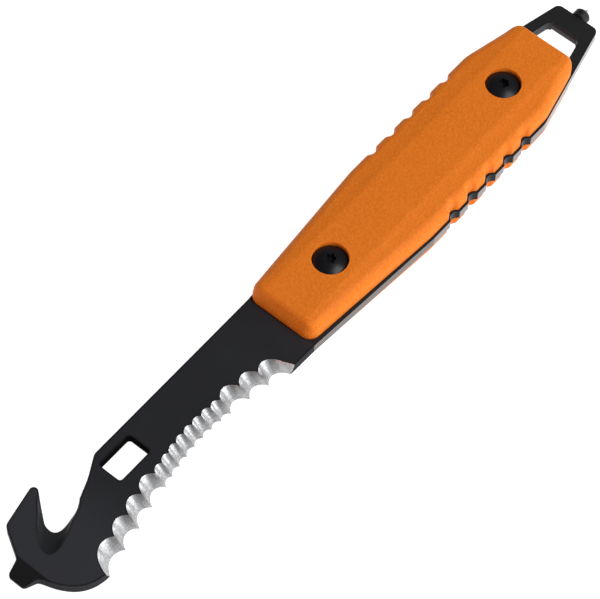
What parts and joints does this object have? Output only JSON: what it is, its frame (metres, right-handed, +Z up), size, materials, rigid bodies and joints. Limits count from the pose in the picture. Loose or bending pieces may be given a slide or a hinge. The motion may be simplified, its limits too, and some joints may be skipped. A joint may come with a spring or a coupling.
{
  "type": "fixed-blade rescue tool",
  "caption": "Full-tang rescue cutter with a strap hook, pry tab, wrench cut-out and scalloped serrations, handle scales held by screws, a lanyard opening and a glass-breaker stud.",
  "frame": {"origin": "midway between the two handle screw axes, on the outer flat of the right scale, which is the face the tool lies on", "axes": "+X along the tool to the butt and the glass breaker, +Y to the spine and the open side of the hook, +Z up through the left scale, normal to the plate"},
  "size_m": [0.2659, 0.0352, 0.0165],
  "materials": {
    "coated_steel": "black matt coating on steel, bare steel on the ground serrations",
    "scale_orange": "orange reinforced resin with a fine pebbled grain",
    "black_screw": "black oxide, slight sheen",
    "bare_steel": "turned steel",
    "black_stud": "black coating on turned steel",
    "carbide": "ground hard metal, grey"
  },
  "bodies": {
    "root": {"blade_tang": "coated_steel", "left_scale": "scale_orange", "right_scale": "scale_orange", "front_barrel": "bare_steel", "rear_barrel": "bare_steel", "left_front_screw": "black_screw", "left_rear_screw": "black_screw", "right_front_screw": "black_screw", "right_rear_screw": "black_screw", "breaker_stud": "black_stud", "breaker_tip": "carbide"}
  },
  "joints": []
}
